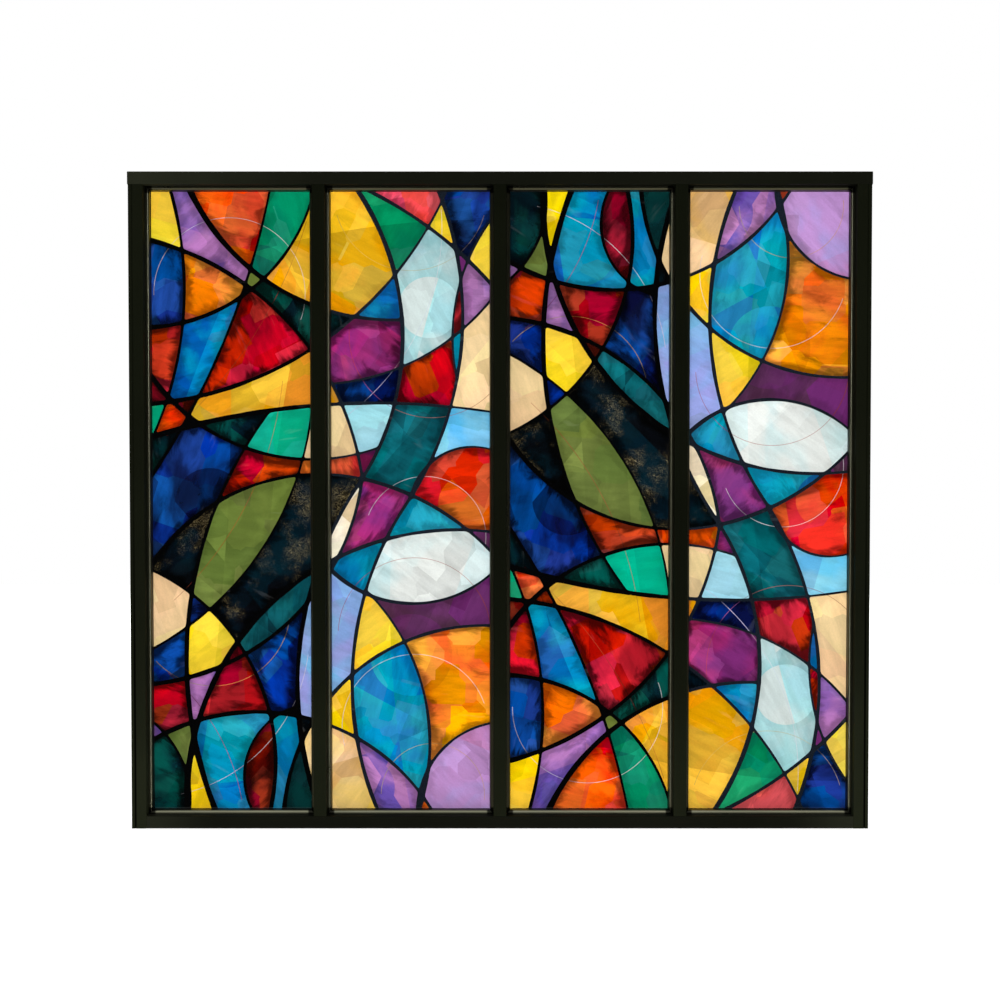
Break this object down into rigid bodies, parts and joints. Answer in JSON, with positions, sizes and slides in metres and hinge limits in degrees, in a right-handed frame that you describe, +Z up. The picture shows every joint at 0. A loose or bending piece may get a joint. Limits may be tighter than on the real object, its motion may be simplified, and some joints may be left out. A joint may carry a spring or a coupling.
{
  "type": "interior glass partition",
  "caption": "Full-height interior partition: slim dark metal frame with mullions, holding tall fixed panes of printed glass in mitred beads and rubber gaskets.",
  "frame": {"origin": "on the floor, in the middle of the bottom rail's underside", "axes": "+Z up, +X towards the right stile as seen from the front, and the front faces -Y"},
  "size_m": [2.4036, 0.1, 2.13],
  "materials": {
    "frame_black": "satin black powder coat",
    "cap_black": "satin black powder coat",
    "bead_black": "semi-gloss black powder coat",
    "gasket_rubber": "matt black rubber",
    "printed_glass": "toughened glass with a many-coloured print, polished"
  },
  "bodies": {
    "root": {"head_rail": "frame_black", "bottom_rail": "frame_black", "left_stile": "frame_black", "right_stile": "frame_black", "mullion_1": "frame_black", "mullion_2": "frame_black", "mullion_3": "frame_black", "left_end_cap": "cap_black", "right_end_cap": "cap_black", "glass_pane_1": "printed_glass", "glass_pane_2": "printed_glass", "glass_pane_3": "printed_glass", "glass_pane_4": "printed_glass", "front_bead_1_bottom": "bead_black", "front_bead_1_top": "bead_black", "front_bead_1_left": "bead_black", "front_bead_1_right": "bead_black", "front_bead_2_bottom": "bead_black", "front_bead_2_top": "bead_black", "front_bead_2_left": "bead_black", "front_bead_2_right": "bead_black", "front_bead_3_bottom": "bead_black", "front_bead_3_top": "bead_black", "front_bead_3_left": "bead_black", "front_bead_3_right": "bead_black", "front_bead_4_bottom": "bead_black", "front_bead_4_top": "bead_black", "front_bead_4_left": "bead_black", "front_bead_4_right": "bead_black", "back_bead_1_bottom": "bead_black", "back_bead_1_top": "bead_black", "back_bead_1_left": "bead_black", "back_bead_1_right": "bead_black", "back_bead_2_bottom": "bead_black", "back_bead_2_top": "bead_black", "back_bead_2_left": "bead_black", "back_bead_2_right": "bead_black", "back_bead_3_bottom": "bead_black", "back_bead_3_top": "bead_black", "back_bead_3_left": "bead_black", "back_bead_3_right": "bead_black", "back_bead_4_bottom": "bead_black", "back_bead_4_top": "bead_black", "back_bead_4_left": "bead_black", "back_bead_4_right": "bead_black", "front_gasket_1": "gasket_rubber", "front_gasket_2": "gasket_rubber", "front_gasket_3": "gasket_rubber", "front_gasket_4": "gasket_rubber", "back_gasket_1": "gasket_rubber", "back_gasket_2": "gasket_rubber", "back_gasket_3": "gasket_rubber", "back_gasket_4": "gasket_rubber"}
  },
  "joints": []
}
